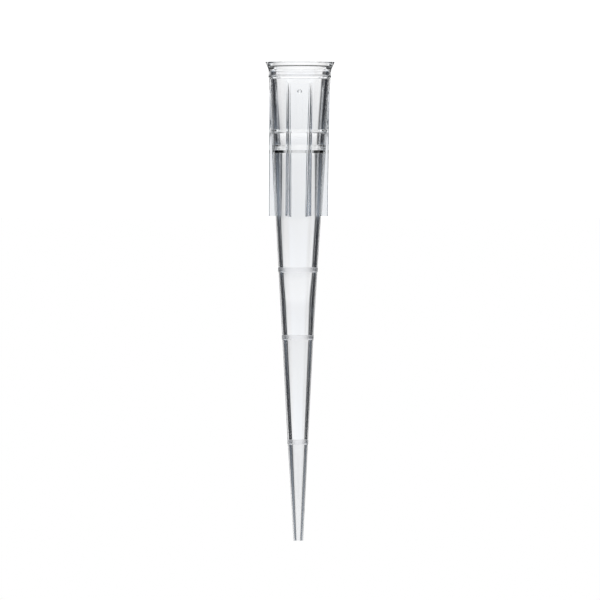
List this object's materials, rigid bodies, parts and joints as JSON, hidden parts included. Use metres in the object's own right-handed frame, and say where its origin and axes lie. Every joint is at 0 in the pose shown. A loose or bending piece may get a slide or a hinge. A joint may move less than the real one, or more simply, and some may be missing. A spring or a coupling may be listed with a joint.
{
  "type": "pipette tip",
  "caption": "Clear tapered pipette tip with a flared mouth, collar, grip fins, raised graduation bands and a fine orifice.",
  "frame": {"origin": "centre of the mouth rim's flat face, which the tip stands on", "axes": "+Z along the axis from the mouth to the orifice; -Y is the front, between two fins, where the cavity dot is"},
  "size_m": [0.0072, 0.0072, 0.05],
  "materials": {
    "clear_polypropylene": "clear natural polypropylene, smooth moulded gloss, with frosted graduation bands"
  },
  "bodies": {
    "root": {"pipette_tip": "clear_polypropylene"}
  },
  "joints": []
}
